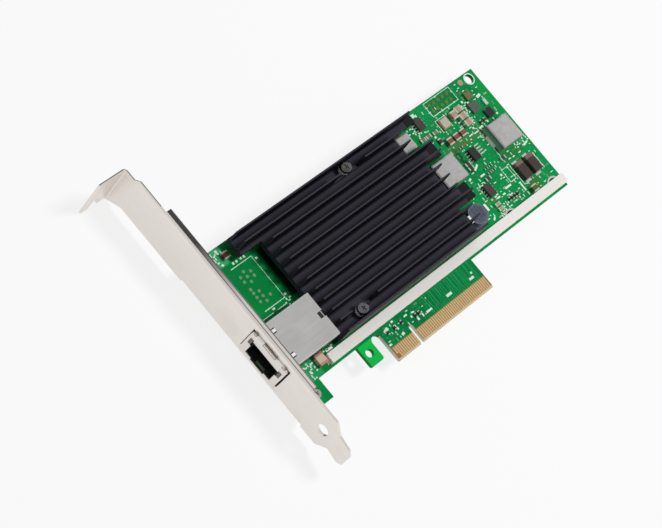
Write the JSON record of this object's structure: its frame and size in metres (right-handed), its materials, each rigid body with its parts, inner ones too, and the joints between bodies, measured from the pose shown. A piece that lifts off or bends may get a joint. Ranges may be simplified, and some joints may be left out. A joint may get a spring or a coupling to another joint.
{
  "type": "network adapter card",
  "caption": "Expansion card with a copper network jack, full-height slot bracket, black finned heatsink, edge stiffener and gold edge connector.",
  "frame": {"origin": "on the centre line of the edge connector's key, at the tongue's lower edge, on the component face of the board", "axes": "+X along the card from the bracket to the far end, +Y up the board from the edge connector, +Z out of the component side"},
  "size_m": [0.168, 0.1212, 0.0222],
  "materials": {
    "solder_mask": "green solder mask over glass laminate",
    "gold_plate": "gold plate",
    "bracket_steel": "bright satin plate",
    "fastener_steel": "bright plate",
    "dark_steel": "dark plate",
    "bar_aluminium": "pale matte",
    "black_anodise": "black anodised",
    "laminate": "package laminate",
    "nickel_plate": "nickel plate",
    "thermal_pad": "soft grey pad",
    "shield_steel": "tin plate",
    "black_moulding": "matt moulding",
    "light_pipe": "clear moulding",
    "tin_plate": "tin plate",
    "iron_powder": "pressed powder, pale grey",
    "ferrite": "dark ferrite",
    "polymer_case": "dark brown moulding",
    "tan_ceramic": "tan ceramic",
    "brown_ceramic": "brown ceramic",
    "chip_ceramic": "grey-brown ceramic"
  },
  "bodies": {
    "root": {"circuit_board": "solder_mask", "edge_contacts_front": "gold_plate", "edge_contacts_back": "gold_plate", "jack_contacts": "gold_plate", "bracket": "bracket_steel", "bracket_screws": "fastener_steel", "stiffener_screws": "fastener_steel", "heatsink_nuts": "fastener_steel", "heatsink_screws": "dark_steel", "heatsink_springs": "dark_steel", "stiffener_bar": "bar_aluminium", "heatsink": "black_anodise", "controller_substrate": "laminate", "controller_lid": "nickel_plate", "oscillator_lid": "nickel_plate", "thermal_pad": "thermal_pad", "jack_shield": "shield_steel", "jack_housing": "black_moulding", "regulator_upper": "black_moulding", "regulator_middle": "black_moulding", "regulator_lower": "black_moulding", "flat_package_large": "black_moulding", "flat_package_right": "black_moulding", "flat_package_corner": "black_moulding", "jack_light_pipes": "light_pipe", "jack_pins": "tin_plate", "power_inductor_straps": "tin_plate", "drum_inductor_clips": "tin_plate", "polymer_capacitor_straps": "tin_plate", "chip_end_caps": "tin_plate", "regulator_leads": "tin_plate", "power_inductor_inner": "iron_powder", "power_inductor_outer": "iron_powder", "filter_inductor": "iron_powder", "drum_inductor_core": "ferrite", "drum_inductor_base": "ferrite", "polymer_capacitor_inner": "polymer_case", "polymer_capacitor_outer": "polymer_case", "tan_capacitors": "tan_ceramic", "surge_capacitor": "tan_ceramic", "oscillator_base": "tan_ceramic", "brown_capacitors": "brown_ceramic", "power_chips": "chip_ceramic", "bypass_chips": "chip_ceramic", "sense_chips": "chip_ceramic", "clock_chips": "chip_ceramic", "link_chips": "chip_ceramic"}
  },
  "joints": []
}
